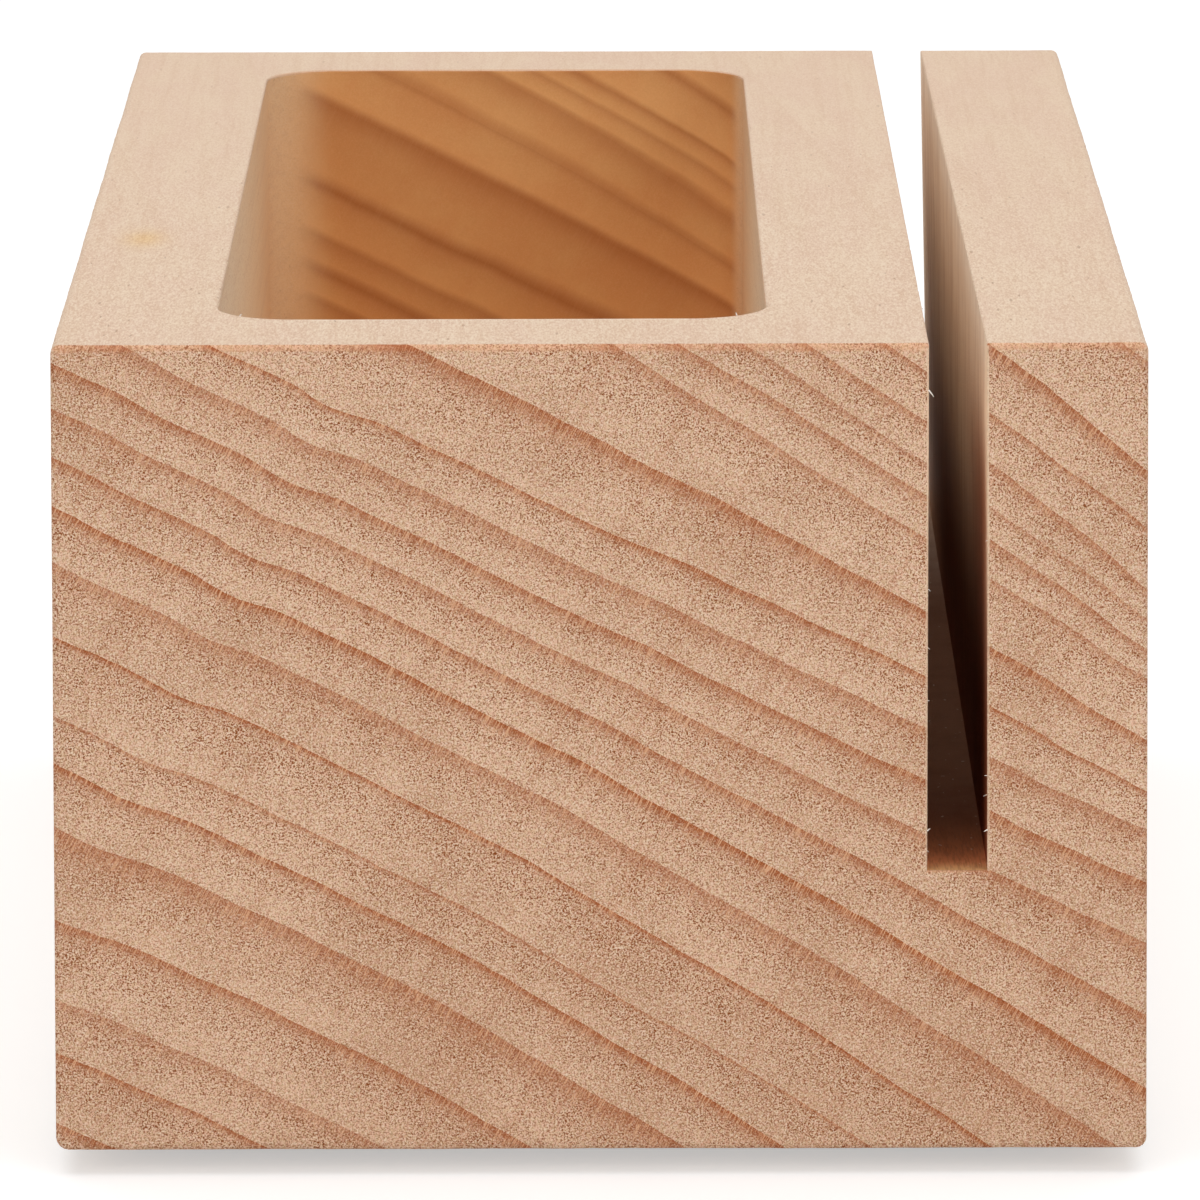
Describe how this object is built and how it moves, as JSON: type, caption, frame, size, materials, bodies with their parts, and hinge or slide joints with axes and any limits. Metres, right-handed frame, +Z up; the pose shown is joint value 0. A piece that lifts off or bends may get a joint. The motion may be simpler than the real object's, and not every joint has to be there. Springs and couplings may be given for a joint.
{
  "type": "table card holder",
  "caption": "Wooden table block with an open pocket for standing business cards beside a narrow saw-cut slot that holds an upright sign card.",
  "frame": {"origin": "on the table, under the middle of the block", "axes": "+Z up, +Y along the grain and the slot, away from the viewer, +X from the pocket towards the slot"},
  "size_m": [0.055, 0.105, 0.0428],
  "materials": {
    "beech": "fine-sanded bare hardwood, end grain at the front and rear",
    "foot_rubber": "matt dark rubber"
  },
  "bodies": {
    "root": {"wood_block": "beech", "foot_front_left": "foot_rubber", "foot_front_right": "foot_rubber", "foot_rear_left": "foot_rubber", "foot_rear_right": "foot_rubber"}
  },
  "joints": []
}
